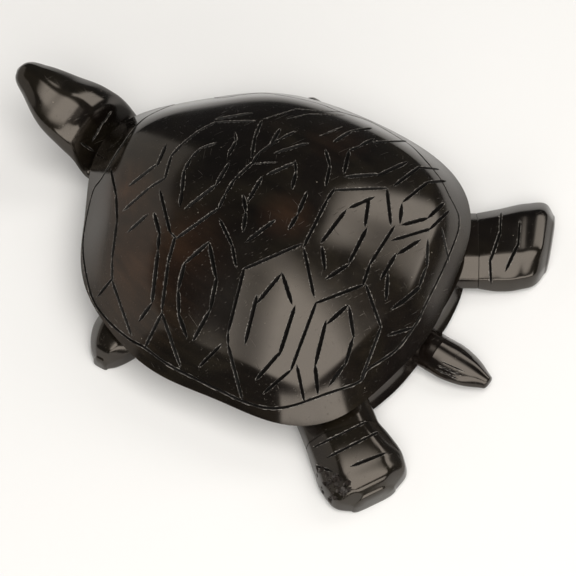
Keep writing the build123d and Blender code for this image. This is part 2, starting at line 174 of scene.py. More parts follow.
# Body block under the shell
flank_overhang = 11.9 * mm
front_overhang = 7.6 * mm
rear_overhang = 1.6 * mm
cove_depth = 1.6 * mm
waist_flare = 0.5 * mm
skirt_flare = 1.9 * mm
# The block's outline, as shares of its half width and of its length behind or in front
block_rear_shares = (
    (0.0, 1.0),
    (0.42, 0.985),
    (0.78, 0.90),
    (0.96, 0.70),
    (1.0, 0.38),
    (1.0, 0.0),
)
block_front_shares = ((0.96, 0.36), (0.86, 0.62), (0.62, 0.84), (0.30, 0.97), (0.0, 1.0))
block_curve_steps = 10
block_layers = 22
collar_length = 9.0 * mm
under_chamfer = 0.45 * mm

# How the limbs end and how finely they are made
seat_line = 0.2 * mm
foot_bulge = 0.9 * mm
foot_fullness = 0.45
snout_bulge = 0.8 * mm
snout_fullness = 0.8
leg_rings = 46
head_rings = 70
tail_rings = 40
end_rings = 8
tail_end_rings = 6
corner_passes = 3
leg_corner_share = 0.11
head_corner_share = 0.16
tail_corner_share = 0.2
# Share of a leg's length over which it takes its lean
lean_start = 0.28
# How much further the outer side of a limb reaches than its inner side
rear_left_lean_share = 0.09
head_lean_share = 0.05
head_ridge_share = 0.16
head_lean_start = 0.3
head_lean_run = 0.3
# How much wider the neck's far side is where it goes under the shell, and where that ends
neck_wide_share = 0.45
neck_wide_end = 0.42

# Camera: where it looks from, and where the middle of the rim falls in the picture
view_azimuth = 126.0
view_elevation = 58.0
view_distance = 600 * mm
picture_width = 576.0
sensor_width = 36.0
lens_length = 150.0
shell_middle_px = (272.0, 245.3)
near_clip = 0.01
# Halvings of the ray when a pixel's place on the dome is looked for
search_steps = 36

# Brown stains in the shell: middle and reach
stains_px = (
    ((150, 265), 22 * mm),
    ((338, 140), 9 * mm),
    ((125, 190), 10 * mm),
    ((285, 215), 8 * mm),
)

# Polished horn: how brown and how worn it is on each piece
polished_finishes = {
    "shell_horn": (0.08, 1.0),
    "shell_bevel": (0.1, 0.6),
    "limb_horn": (0.07, 0.8),
    "body_horn": (0.1, 0.8),
}
# Gloss, roughness and clouds; tones are places along the noise, each with a brightness
horn_index = 1.6
least_roughness = 0.06
smudge_roughness = 0.17
smudge_scale = 130.0
horn_bump = 0.012 * mm
horn_bump_strength = 0.5
ripple_scale = 300.0
ripple_height = 0.35
cloud_scale = 42.0
cloud_places = (0.42, 0.62, 0.8)
patch_scale = 24.0
patch_tones = ((0.35, 0.25), (0.6, 1.0))
# Scratches, growth lines and dusty pits
scratch_stretch = (90, 4200, 1500)
scratch_contrast = 22.0
scratch_tilt = (0.3, 0.2)
# Headings of the scratches in radians, each with its rarity
scratch_headings = ((0.35, 0.72), (1.9, 0.74), (2.7, 0.75))
scratch_roughness = 0.2
scratch_paleness = 0.25
growth_stretch = (260, 40, 700)
growth_tones = ((0.3, 0.6), (0.7, 1.5))
pit_scale = 420.0
pit_size = 0.07
pit_rarity = 0.93
pit_paleness = 0.7
pit_depth = 3.0

# Finish of the cuts, of the chipped patch and of the pegs' wood: the dark and the light tone,
# roughness, scale of the grain and gloss index
raw_bump = 0.04 * mm
raw_bump_strength = 0.8
raw_places = (0.35, 0.65)
raw_finishes = {
    "shell_cut": ((0.001, 0.001, 0.001), (0.009, 0.008, 0.0075), 0.5, 2600.0, 1.22),
    "shell_cut_edge": ((0.014, 0.013, 0.012), (0.22, 0.205, 0.19), 0.45, 1300.0, 1.4),
    "chipped_horn": ((0.006, 0.0045, 0.004), (0.03, 0.023, 0.02), 0.5, 1500.0, 1.4),
    "peg_wood": ((0.36, 0.22, 0.12), (0.56, 0.39, 0.24), 0.7, 900.0, 1.5),
}

# Angle over which an edge shows as a crease, in degrees
shell_crease = 35
limb_crease = 30
body_crease = 28

# Light: a glowing sheet overhead that starts near one corner, another at the side, a bright
# wall and a weak lamp in front. Ways are an angle from +X towards +Y and one from straight up.
ceiling_corner = (-0.36, -0.28, 1.0)
ceiling_turn = 4.5
ceiling_size = (1.79, 1.59)
ceiling_soft = 0.24
strip_ends = ((138, 74), (190, 35))
strip_width = 0.38
strip_soft = 0.09
strip_level_share = 0.85
wall_way = (52, 72)
wall_distance = 2.4
wall_size = (2.9, 0.75)
front_way = (285, 66)
front_distance = 1.4
front_size = (2.6, 1.3)
front_level_share = 0.14
floor_half_side = 3.0
floor_roughness = 0.9

# How the solids of the cuts are made: how far they rise over the surface, how deep the frosted
# edge goes, and its widths, as shares of the greatest depth and of the edge's width
cut_lift_share = 0.8
lip_share = 0.35
edge_shares = (0.15, 0.3, 0.5, 1.0, 1.7)
depth_unevenness = 0.1
thin_cut = 0.02 * mm
# Depth of each kind of cut as a share of the greatest, how far it runs past both ends, and the
# length of one step
long_cut_share = 0.85
fine_cut_share = 0.35
margin_cut_share = 0.7
long_overshoot_px = 2.5
short_overshoot_px = 1.5
shell_step_px = 1.3
limb_step_px = 2.0
margin_steps = 6

# Lines of the shell's pattern, read from the photograph. Each is a run of straight cuts.
long_cuts_px = (
    ((111, 171), (116, 195), (117, 220), (112, 259), (112, 281)),
    ((112, 281), (131, 335)),
    ((112, 279), (98, 296)),
    ((124, 210), (149, 188), (165, 178), (171, 156), (182, 144)),
    ((182, 144), (200, 130), (216, 122), (254, 121)),
    ((160, 191), (170, 232), (175, 237), (168, 263), (162, 309), (162, 314), (180, 366)),
    ((162, 313), (145, 347)),
    ((177, 238), (219, 208), (225, 195), (234, 180), (252, 163)),
    ((220, 220), (232, 245), (236, 266)),
    ((252, 164), (259, 153), (280, 139), (294, 132)),
    ((261, 122), (255, 137), (252, 156)),
    ((301, 244), (244, 269), (228, 332), (228, 345), (242, 399)),
    ((221, 345), (200, 366)),
    ((334, 189), (327, 200), (304, 246)),
    ((304, 249), (314, 296)),
    ((316, 303), (363, 285), (370, 264), (394, 227)),
    ((316, 303), (291, 370), (264, 393)),
    ((297, 366), (304, 400)),
    ((366, 285), (381, 327), (361, 380)),
    ((334, 190), (386, 188)),
    ((326, 151), (330, 166), (326, 185)),
    ((393, 240), (430, 229), (448, 212)),
    ((389, 335), (412, 328)),
    ((442, 229), (449, 261)),
    ((404, 201), (428, 182), (444, 181)),
    ((395, 185), (419, 167), (437, 169)),
    ((374, 142), (404, 141)),
)
short_cuts_px = (
    ((129, 186), (157, 164)),
    ((157, 166), (166, 145)),
    ((180, 206), (182, 190)),
    ((182, 192), (184, 170)),
    ((184, 171), (191, 158), (201, 148), (216, 143)),
    ((235, 133), (236, 141), (228, 156)),
    ((229, 163), (216, 185), (185, 209)),
    ((216, 119), (252, 113)),
    ((271, 144), (280, 129)),
    ((275, 153), (308, 143)),
    ((128, 232), (148, 214)),
    ((154, 213), (160, 235)),
    ((159, 234), (158, 250)),
    ((158, 250), (152, 303)),
    ((152, 303), (139, 321)),
    ((185, 263), (209, 242)),
    ((209, 243), (216, 278)),
    ((217, 276), (210, 311)),
    ((210, 310), (193, 341)),
    ((185, 262), (178, 290), (179, 315)),
    ((178, 313), (187, 338)),
    ((257, 303), (281, 274)),
    ((282, 273), (292, 304)),
    ((295, 306), (279, 356)),
    ((280, 352), (256, 380)),
    ((257, 295), (245, 344)),
    ((262, 177), (248, 201)),
    ((243, 195), (246, 212), (243, 231)),
    ((246, 242), (275, 220)),
    ((267, 175), (294, 163)),
    ((295, 161), (296, 172), (292, 189)),
    ((307, 192), (298, 214), (289, 229)),
    ((349, 208), (374, 197)),
    ((369, 198), (365, 226)),
    ((346, 210), (321, 243)),
    ((322, 246), (325, 270)),
    ((326, 279), (349, 264)),
    ((349, 263), (367, 228)),
    ((327, 324), (348, 305)),
    ((349, 306), (354, 338)),
    ((353, 338), (345, 366)),
    ((345, 364), (329, 386)),
    ((326, 321), (315, 366)),
    ((315, 364), (318, 394)),
    ((402, 204), (400, 223)),
    ((402, 225), (428, 218), (444, 203)),
    ((398, 254), (420, 240)),
    ((428, 240), (427, 268)),
    ((426, 268), (419, 287)),
    ((420, 286), (400, 305)),
    ((396, 254), (381, 279)),
    ((388, 273), (386, 300)),
    ((392, 309), (420, 288)),
    ((387, 189), (391, 225)),
    ((345, 177), (378, 174)),
    ((377, 176), (407, 162)),
    ((344, 173), (349, 151), (360, 146), (373, 139)),
    ((334, 142), (351, 131), (371, 128)),
)

fine_cuts_px = (
    ((264, 119), (296, 109), (341, 112), (369, 121)),
    ((287, 119), (309, 114), (344, 115)),
    ((251, 164), (277, 162)),
    ((320, 136), (342, 127)),
)
# Where a blunt ridge runs; its place on the dome is found before the ridge changes the dome
ridge_lines_px = (((301, 244), (244, 269), (228, 332), (228, 345), (240, 390)),)
ridge_lines = []

# The line round the shell that sets its marginal plates apart
margin_line_px = (
    (140, 122), (120, 148), (101, 179), (92, 194), (83, 240), (86, 274), (94, 302), (110, 323),
    (129, 339), (145, 348), (167, 364), (192, 377), (221, 391), (242, 401), (267, 408), (291, 406),
    (326, 394), (359, 382), (368, 369), (395, 351), (416, 324), (426, 304), (438, 280), (448, 258),
    (456, 238), (459, 226), (458, 213), (449, 195), (443, 183), (437, 174), (417, 151), (401, 139),
    (369, 121), (341, 112), (320, 104), (291, 97), (259, 93), (224, 97.5), (207, 98), (180, 103),
    (160, 110),
)

# A patch on one leg where the horn has chipped, and the chips: width and depth, and the shares
# between which each one's half width, narrowness and depth lie
chipped_patch_px = (
    (316, 468), (330, 471), (346, 478), (353, 486), (345, 497), (330, 500), (318, 488),
)
chip_count = 60
chip_width = 1.9 * mm
chip_sink = 0.38 * mm
chip_tilt = 0.5
chip_width_shares = (0.3, 0.6)
chip_narrow_shares = (0.35, 0.9)
chip_sink_shares = (0.3, 1.0)
chip_corners = 5
chip_uneven_turn = 20
chip_flares = (0.75, 1.3)

# Cuts on the limbs: both ends, and the greatest depth
limb_cuts_px = {
    "rear_left_leg": (
        ((314, 447), (372, 419), 0.35 * mm),
        ((328, 457), (378, 432), 0.4 * mm),
        ((352, 466), (385, 453), 0.5 * mm),
        ((316, 466), (331, 471), 0.4 * mm),
    ),
    "rear_right_leg": (
        ((501, 213), (500, 232), 0.35 * mm),
        ((501, 230), (490, 262), 0.45 * mm),
        ((490, 258), (491, 283), 0.4 * mm),
        ((520, 221), (518, 247), 0.35 * mm),
        ((518, 244), (506, 270), 0.5 * mm),
    ),
    "tail": (
        ((442, 362), (463, 371), 0.2 * mm),
        ((439, 366), (460, 375), 0.2 * mm),
        ((437, 370), (456, 378), 0.2 * mm),
    ),
    "head_and_neck": (
        ((111, 112), (103, 123), 0.4 * mm),
        ((103, 122), (93, 140), 0.4 * mm),
        ((81, 143), (93, 151), 0.3 * mm),
    ),
}


def cubic(t, start, end, start_slope, end_slope):
    """A value on the way between two others, along a curve with a slope at each end."""
    blend = 2 * t**3 - 3 * t**2 + 1
    bend = (t**3 - 2 * t**2 + t) * start_slope + (t**3 - t**2) * end_slope
    return start * blend + end * (1 - blend) + bend


def rim_radius(angle):
    """Distance from the middle of the shell to its rim; angle 0 is straight back."""
    even = sum(share * np.cos(order * angle) for order, share in rim_even_shares.items())
    lean = sum(share * np.sin(order * angle) for order, share in rim_lean_shares.items())
    return shell_radius * (1 + even + lean)


def dome_profile(share):
    """Height of the dome over its rim, at shares of the rim's radius."""
    crown = dome_rise * np.maximum(1 - share**2, 0) ** dome_fullness_share
    start = dome_rise * (1 - band_share**2) ** dome_fullness_share
    start_fall = 2 * dome_fullness_share * band_share * start / (1 - band_share**2)
    end_fall = shell_radius * math.tan(math.radians(band_slope))
    way = np.clip((share - band_share) / (1 - band_share), 0, 1)
    width = band_share - 1
    band = cubic(way, start, 0, width * start_fall, width * end_fall)
    return np.where(share <= band_share, crown, band)


def ridge_height(x, y):
    """Height of the blunt ridges where large plates meet."""
    total = 0
    for points in ridge_lines:
        nearest = np.full(np.shape(x), shell_radius)
        for start, end in zip(points, points[1:]):
            along = end - start
            share = ((x - start[0]) * along[0] + (y - start[1]) * along[1]) / np.dot(along, along)
            share = np.clip(share, 0, 1)
            gap = np.hypot(x - start[0] - along[0] * share, y - start[1] - along[1] * share)
            nearest = np.minimum(nearest, gap)
        total = total + plate_ridge * np.exp(-nearest / plate_ridge_reach)
    return total


def dome_height(x, y):
    """Height of the dome over the rim's plane, at places from the middle of the shell."""
    share = np.minimum(np.hypot(x, y) / rim_radius(np.arctan2(x, y)), 1)
    wave = 0
    for length, heading, depth in polish_waves:
        turn = math.radians(heading)
        phase = 2 * math.pi * (x * math.cos(turn) + y * math.sin(turn)) / length
        wave = wave - depth * (1 + np.sin(phase + heading))
    return dome_profile(share) + (wave + ridge_height(x, y)) * (1 - share**rim_fade)


def dome_point(share, angle):
    """Places on the dome, with their heights over the ground, in the frame."""
    radius = rim_radius(angle) * share
    x = radius * np.sin(angle)
    y = radius * np.cos(angle)
    z = rim_height + dome_height(x, y)
    return np.stack([x + shell_middle.x, y + shell_middle.y, z], axis=-1)


def dome_normal(points):
    """Outward normals of the dome at places in the frame."""
    x = points[..., 0] - shell_middle.x
    y = points[..., 1] - shell_middle.y
    angle = np.arctan2(x, y)
    share = np.clip(np.hypot(x, y) / rim_radius(angle), *normal_shares)
    outward = dome_point(share + normal_step, angle) - dome_point(share - normal_step, angle)
    around = dome_point(share, angle + normal_step) - dome_point(share, angle - normal_step)
    normal = np.cross(around, outward)
    normal *= np.where(normal[..., 2:] < 0, -1, 1)
    return normal / np.linalg.norm(normal, axis=-1, keepdims=True)


def view_axes():
    """The camera's axes: towards the viewer, to the right and up."""
    turn = math.radians(view_azimuth)
    lift = math.radians(view_elevation)
    level = Vector((math.sin(turn), -math.cos(turn), 0))
    back = level * math.cos(lift) + Vector((0, 0, math.sin(lift)))
    right = Vector((math.cos(turn), math.sin(turn), 0))
    return back, right, back.cross(right)


def eye_place():
    return Vector((shell_middle.x, shell_middle.y, rim_height)) + view_axes()[0] * view_distance


def pixel_ray(pixel):
    """Direction of the camera's ray through a pixel."""
    back, right, up = view_axes()
    focal = lens_length / sensor_width * picture_width
    across = (pixel[0] - shell_middle_px[0]) / focal
    down = (pixel[1] - shell_middle_px[1]) / focal
    return (right * across - up * down - back).normalized()


def pixel_on_dome(pixel):
    """The place on the dome that a pixel shows."""
    eye = eye_place()
    ray = pixel_ray(pixel)
    near = (rim_height + dome_rise - eye.z) / ray.z
    far = (rim_height - eye.z) / ray.z
    for _ in range(search_steps):
        middle = (near + far) / 2
        place = eye + ray * middle
        height = rim_height + dome_height(place.x - shell_middle.x, place.y - shell_middle.y)
        if place.z > height:
            near = middle
        else:
            far = middle
    return np.array(eye + ray * near)


def add_ridges():
    """Find where the ridges run, before they change the dome."""
    middle = np.array(shell_middle)
    found = [[(pixel_on_dome(pixel) - middle)[:2] for pixel in line] for line in ridge_lines_px]
    ridge_lines.extend(found)


def new_object(name, data):
    piece = bpy.data.objects.new(name, data)
    bpy.context.scene.collection.objects.link(piece)
    return piece


def mesh_of(name, points, faces):
    mesh = bpy.data.meshes.new(name)
    mesh.from_pydata([tuple(point) for point in points], [], faces)
    return mesh


def groove_solid(path, normals, settings, depth_limit, chance, closed=False):
    """A closed solid to subtract: a V-edged wheel's sweep along a path, plunged in and out."""
    count = len(path)
    steps = np.linalg.norm(np.diff(path, axis=0), axis=1)
    reach = np.concatenate([[0], np.cumsum(steps)])
    wheel = settings.wheel_radius
    deepest = depth_limit if closed else min(depth_limit, (reach[-1] / 2) ** 2 / (2 * wheel))
    ramp = math.sqrt(2 * wheel * deepest)
    lift = settings.cut_depth * cut_lift_share
    lip = settings.edge_width * lip_share
    points = []
    for index, place in enumerate(path):
        normal = normals[index]
        if closed:
            ahead = path[(index + 1) % count] - path[index - 1]
        else:
            ahead = path[min(index + 1, count - 1)] - path[max(index - 1, 0)]
        across = np.cross(normal, ahead)
        across /= np.linalg.norm(across)
        short = 0 if closed else max(ramp - min(reach[index], reach[-1] - reach[index]), 0)
        uneven = 1 + chance.uniform(-depth_unevenness, depth_unevenness)
        depth = (deepest - short**2 / (2 * wheel)) * uneven
        half = depth * settings.cut_slope
        flares = [settings.edge_width * chance.choice(edge_shares) for _ in range(2)]
        sunk = place - normal * depth
        if half < lip * settings.cut_slope + thin_cut:
            inner = max(half, thin_cut / 2)
            outer = [inner + flare for flare in flares]
            low = place
        else:
            inner = half - lip * settings.cut_slope
            outer = [inner + flare * (lift + lip) / lip for flare in flares]
            low = place - normal * lip
        top = place + normal * lift
        points += [top - across * outer[0], low - across * inner, sunk]
        points += [low + across * inner, top + across * outer[1]]
    faces = []
    for index in range(count if closed else count - 1):
        a = index * 5
        b = (index + 1) % count * 5
        faces += [(a + k, a + k + 1, b + k + 1, b + k) for k in range(4)]
        faces.append((a + 4, a, b, b + 4))
    if not closed:
        last = (count - 1) * 5
        faces.append((0, 4, 3, 2, 1))
        faces.append((last, last + 1, last + 2, last + 3, last + 4))
    mesh = mesh_of("groove", points, faces)
    face_outwards(mesh)
    for polygon in mesh.polygons:
        polygon.material_index = 1 if polygon.index % 5 in (0, 3) else 0
    return mesh


def pixel_path(start, end, overshoot, step):
    """Places on the dome along a straight line in the picture, a little past both ends."""
    start = np.array(start, float)
    end = np.array(end, float)
    along = (end - start) / np.linalg.norm(end - start)
    start = start - along * overshoot
    end = end + along * overshoot
    count = max(4, int(np.linalg.norm(end - start) / step) + 1)
    return np.array([pixel_on_dome(start + (end - start) * t) for t in np.linspace(0, 1, count)])


def pattern_grooves(settings):
    """All the cuts of the shell's pattern, as solids to subtract."""
    chance = random.Random(settings.seed)
    meshes = []
    for table, depth_share, overshoot in (
        (long_cuts_px, long_cut_share, long_overshoot_px),
        (short_cuts_px, 1, short_overshoot_px),
        (fine_cuts_px, fine_cut_share, short_overshoot_px),
    ):
        limit = settings.cut_depth * depth_share
        for line in table:
            for start, end in zip(line, line[1:]):
                path = pixel_path(start, end, overshoot, shell_step_px)
                meshes.append(groove_solid(path, dome_normal(path), settings, limit, chance))
    ring = np.array([pixel_on_dome(pixel) for pixel in closed_curve(margin_line_px, margin_steps)])
    limit = settings.cut_depth * margin_cut_share
    meshes.append(groove_solid(ring, dome_normal(ring), settings, limit, chance, closed=True))
    return meshes


def make_dome_mesh():
    """The shell before cutting: dome, rim, bevel below it and flat underside."""
    angles = np.linspace(0, 2 * math.pi, shell_spokes, endpoint=False)
    shares = np.sin(np.linspace(0, math.pi / 2, shell_rings + 1))[1:]
    points = [dome_point(np.zeros(1), np.zeros(1))[0]]
    for share in shares:
        points += list(dome_point(np.full(shell_spokes, share), angles))
    radius = rim_radius(angles) - under_edge_inset
    x = shell_middle.x + radius * np.sin(angles)
    y = shell_middle.y + radius * np.cos(angles)
    points += list(np.stack([x, y, np.full(shell_spokes, under_height)], axis=-1))
    faces = [(0, 1 + (k + 1) % shell_spokes, 1 + k) for k in range(shell_spokes)]
    for ring in range(shell_rings):
        a = 1 + ring * shell_spokes
        b = a + shell_spokes
        for k in range(shell_spokes):
            n = (k + 1) % shell_spokes
            faces.append((a + k, a + n, b + n, b + k))
    last = 1 + shell_rings * shell_spokes
    faces.append(tuple(range(last, last + shell_spokes)))
    mesh = mesh_of("shell", points, faces)
    face_outwards(mesh)
    for polygon in mesh.polygons:
        low = min(mesh.vertices[index].co.z for index in polygon.vertices)
        polygon.material_index = 1 if low < rim_height - under_edge_height / 2 else 0
    return mesh


def combine(piece, cutters, operation="DIFFERENCE"):
    """Cut other meshes out of a piece, or join them to it, keeping all their materials."""
    group = bpy.data.collections.new("cutters")
    objects = [bpy.data.objects.new("cutter", mesh) for mesh in cutters]
    for cutter in objects:
        group.objects.link(cutter)
    bpy.context.scene.collection.children.link(group)
    change = piece.modifiers.new("cuts", "BOOLEAN")
    change.operation = operation
    change.solver = "MANIFOLD"
    change.operand_type = "COLLECTION"
    change.collection = group
    change.material_mode = "TRANSFER"
    graph = bpy.context.evaluated_depsgraph_get()
    cut = bpy.data.meshes.new_from_object(piece.evaluated_get(graph))
    piece.modifiers.clear()
    old = piece.data
    piece.data = cut
    bpy.data.meshes.remove(old)
    for cutter in objects:
        bpy.data.objects.remove(cutter)
    for mesh in cutters:
        bpy.data.meshes.remove(mesh)
    bpy.data.collections.remove(group)


def smooth_with_creases(mesh, angle):
    """Smooth shading, with a crease where two faces meet at more than an angle."""
    mesh.polygons.foreach_set("use_smooth", [True] * len(mesh.polygons))
    work = bmesh.new()
    work.from_mesh(mesh)
    for edge in work.edges:
        faces = edge.link_faces
        sharp = len(faces) != 2 or faces[0].material_index != faces[1].material_index
        edge.smooth = not (sharp or edge.calc_face_angle(0) > angle)
    work.to_mesh(mesh)
    work.free()


def set_dome_normals(mesh):
    """Give the uncut dome the true normals of its form, so that thin faces don't show."""
    count = len(mesh.loops)
    vertex = np.zeros(count, int)
    mesh.loops.foreach_get("vertex_index", vertex)
    places = np.zeros(len(mesh.vertices) * 3)
    mesh.vertices.foreach_get("co", places)
    places = places.reshape(-1, 3)
    slots = np.zeros(len(mesh.polygons), int)
    mesh.polygons.foreach_get("material_index", slots)
    totals = np.zeros(len(mesh.polygons), int)
    mesh.polygons.foreach_get("loop_total", totals)
    on_dome = np.repeat(slots == 0, totals)
    normals = np.zeros((count, 3))
    normals[on_dome] = dome_normal(places[vertex[on_dome]])
    mesh.normals_split_custom_set(normals.tolist())


def past_rim(angle, reach):
    """Place on the ground past the rim, at an angle in degrees away from straight back."""
    turn = math.radians(angle)
    radius = float(rim_radius(turn)) + reach
    return shell_ground + Vector((radius * math.sin(turn), radius * math.cos(turn), 0))


def round_corners(outline, share, passes):
    """A closed outline with its corners cut off again and again, grown back to the size it had."""
    low = outline.min(axis=0)
    high = outline.max(axis=0)
    for number in range(passes):
        cut = share if number == 0 else 0.25
        way = (np.roll(outline, -1, axis=0) - outline) * cut
        ends = [outline + way, np.roll(outline, -1, axis=0) - way]
        outline = np.stack(ends, axis=1).reshape(-1, 2)
    cut_low = outline.min(axis=0)
    cut_high = outline.max(axis=0)
    return low + (outline - cut_low) * (high - low) / (cut_high - cut_low)


def lean_out(outline, share):
    """An outline whose outer side reaches further by a share."""
    wider = np.where(outline[:, 0] > 0, 1 + share, 1)
    return outline * np.stack([wider, np.ones_like(wider)], axis=1)


def limb_outline(outline_shares, half_width, bottom, top, corner_share):
    """Rounded cross-section of a limb: places sideways and up."""
    right = [(half_width * x, bottom + (top - bottom) * y) for x, y in outline_shares]
    left = [(-x, y) for x, y in reversed(right)]
    return round_corners(np.array(right + left), corner_share, corner_passes)


def way_out(turn):
    """Level direction, turned from straight back by an angle in degrees."""
    return Vector((math.sin(math.radians(turn)), math.cos(math.radians(turn)), 0))


def place_ring(place, turn, outline):
    side = way_out(turn - 90)
    return np.array([place + side * x + Vector((0, 0, y)) for x, y in outline])


def smooth_rings(rings, shares, count):
    """Rings between the given ones, along cubic curves through them."""
    rings = np.array(rings)
    shares = np.array(shares)
    slopes = np.gradient(rings, shares, axis=0)
    result = []
    for value in np.linspace(shares[0], shares[-1], count):
        k = min(int(np.searchsorted(shares, value, side="right")) - 1, len(shares) - 2)
        span = shares[k + 1] - shares[k]
        t = (value - shares[k]) / span
        result.append(cubic(t, rings[k], rings[k + 1], span * slopes[k], span * slopes[k + 1]))
    return result


def round_end(rings, bulge, fullness, count):
    """Close the last ring with a low dome that stands out by a bulge."""
    last = rings[-1]
    middle = last.mean(axis=0)
    out = middle - rings[-2].mean(axis=0)
    out /= np.linalg.norm(out)
    for turn in np.linspace(0, math.pi / 2, count + 1)[1:-1]:
        ring = middle + (last - middle) * math.cos(turn) ** fullness + out * bulge * math.sin(turn)
        rings.append(ring)
    return middle + out * bulge


def mesh_from_rings(name, rings, tip):
    """Closed skin over rings, flat at the first and drawn together to a tip at the last."""
    count = len(rings[0])
    points = [point for ring in rings for point in ring] + [tip]
    faces = [tuple(range(count))]
    for ring in range(len(rings) - 1):
        a = ring * count
        b = a + count
        faces += [(a + k, b + k, b + (k + 1) % count, a + (k + 1) % count) for k in range(count)]
    a = (len(rings) - 1) * count
    faces += [(a + k, len(points) - 1, a + (k + 1) % count) for k in range(count)]
    mesh = mesh_of(name, np.clip(points, *cad_box), faces)
    face_outwards(mesh)
    return mesh


def face_outwards(mesh):
    work = bmesh.new()
    work.from_mesh(mesh)
    bmesh.ops.recalc_face_normals(work, faces=work.faces)
    work.to_mesh(mesh)
    work.free()


def soften_root(rings):
    """Draw in the first ring a little, so that a fine line shows where the piece is seated."""
    middle = rings[0].mean(axis=0)
    step = np.linalg.norm(rings[1].mean(axis=0) - middle)
    lip = rings[0] + (rings[1] - rings[0]) * min(seat_line / step, 0.9)
    rings[0] = middle + (rings[0] - middle) * (1 - seat_line / head_half_width)
    rings.insert(1, lip)


def limb_mesh(name, placed, shares, count, end):
    """A limb through the outlines at its stations, with a seat line and a rounded end."""
    rings = smooth_rings(placed, shares, count)
    soften_root(rings)
    return mesh_from_rings(name, rings, round_end(rings, *end))


@dataclass
class LegForm:
    """Where one leg sits on the body, and the stations along it; angles are in degrees."""

    node: str
    place: Vector
    turn: float
    drift: float
    twist: float
    length: float
    half_width: float
    height: float
    shares: tuple
    lean: float = 0

    def outline(self, width_share, height_share, bottom_share):
        half_width = self.half_width * width_share
        bottom = belly_height * bottom_share
        top = self.height * height_share
        return limb_outline(leg_outline_shares, half_width, bottom, top, leg_corner_share)

    def mesh(self):
        placed = []
        way = way_out(self.turn + self.drift)
        for length_share, width_share, height_share, bottom_share in self.shares:
            run = min(self.length * length_share, self.length - foot_bulge)
            turn = self.turn + self.twist * length_share
            outline = self.outline(width_share, height_share, bottom_share)
            outline = lean_out(outline, self.lean * min(length_share / lean_start, 1))
            placed.append(place_ring(self.place + way * run, turn, outline))
        shares = [share[0] for share in self.shares]
        end = (foot_bulge, foot_fullness, end_rings)
        return limb_mesh(self.node, placed, shares, leg_rings, end)

    def seat(self):
        """Where the leg meets the body: place, turn and outline."""
        return self.place, self.turn, self.outline(*self.shares[0][1:])


def block_half_width():
    return sum(float(rim_radius(side * math.pi / 2)) for side in (1, -1)) / 2 - flank_overhang


def leg_forms():
    forms = [
        LegForm(
            node="rear_left_leg",
            place=past_rim(35.0, 1.7 * mm),
            turn=rear_seat_turn,
            drift=-5.0,
            twist=-9.0,
            length=18.0 * mm,
            half_width=10.0 * mm,
            height=rear_leg_height,
            shares=rear_left_shares,
            lean=rear_left_lean_share,
        ),
        LegForm(
            node="rear_right_leg",
            place=past_rim(-39.2, 2.3 * mm),
            turn=-rear_seat_turn,
            drift=-11.0,
            twist=10.0,
            length=20.0 * mm,
            half_width=11.2 * mm,
            height=rear_leg_height,
            shares=rear_right_shares,
        ),
    ]
    for node, side in (("front_left_leg", 1), ("front_right_leg", -1)):
        forms.append(
            LegForm(
                node=node,
                place=shell_ground + Vector((side * block_half_width(), -front_seat_ahead, 0)),
                turn=side * front_seat_turn,
                drift=0,
                twist=0,
                length=14.4 * mm,
                half_width=7.0 * mm,
                height=8.6 * mm,
                shares=front_leg_shares,
            )
        )
    return forms


def neck_outline():
    top = neck_bottom + neck_height
    return limb_outline(head_outline_shares, neck_half_width, neck_bottom, top, head_corner_share)


def neck_seat():
    ahead = float(rim_radius(math.pi)) - neck_under_rim
    return shell_ground + Vector((neck_side, -ahead, 0))


def head_mesh():
    """Head and neck, rising from the seat under the rim to a blunt snout."""
    seat = neck_seat()
    placed = [place_ring(seat, 180, neck_outline())]
    for length_share, width_share, depth_share, lift_share in head_shares:
        run = min(head_length * length_share, head_length - snout_bulge)
        place = seat + Vector((-neck_side * length_share, -run, 0))
        bottom = neck_bottom + (snout_lift - neck_bottom) * lift_share
        top = bottom + head_depth * depth_share
        half_width = head_half_width * width_share
        outline = limb_outline(head_outline_shares, half_width, bottom, top, head_corner_share)
        grown = min(max(length_share - head_lean_start, 0) / head_lean_run, 1)
        outline = lean_out(outline, head_lean_share * grown)
        wide = neck_wide_share * max(1 - length_share / neck_wide_end, 0)
        outline[:, 0] *= np.where(outline[:, 0] < 0, 1 + wide, 1)
        outline[:, 0] += (outline[:, 1] - bottom) * head_ridge_share * grown
        placed.append(place_ring(place, 180, outline))
    shares = [0.0] + [share[0] for share in head_shares]
    end = (snout_bulge, snout_fullness, end_rings)
    return limb_mesh("head", placed, shares, head_rings, end)


def tail_seat():
    return shell_ground + Vector((tail_seat_side, float(rim_radius(0)) + tail_reach, 0))


def tail_outline(width_share, height_share):
    half_width = tail_half_width * width_share
    top = belly_height + tail_height * height_share
    return limb_outline(tail_outline_shares, half_width, belly_height, top, tail_corner_share)


def tail_mesh():
    """Short pointed tail."""
    placed = []
    for length_share, width_share, height_share, sweep_share in tail_shares:
        run = min(tail_length * length_share, tail_length - snout_bulge)
        place = tail_seat() + Vector((tail_sweep * sweep_share, run, 0))
        placed.append(place_ring(place, 0, tail_outline(width_share, height_share)))
    shares = [share[0] for share in tail_shares]
    end = (snout_bulge, snout_fullness, tail_end_rings)
    return limb_mesh("tail", placed, shares, tail_rings, end)


def closed_curve(points, count):
    """Places along a smooth closed curve through the given ones."""
    points = np.array(points)
    slopes = (np.roll(points, -1, axis=0) - np.roll(points, 1, axis=0)) / 2
    result = []
    for index, point in enumerate(points):
        follower = (index + 1) % len(points)
        for t in np.linspace(0, 1, count, endpoint=False):
            result.append(cubic(t, point, points[follower], slopes[index], slopes[follower]))
    return np.array(result)


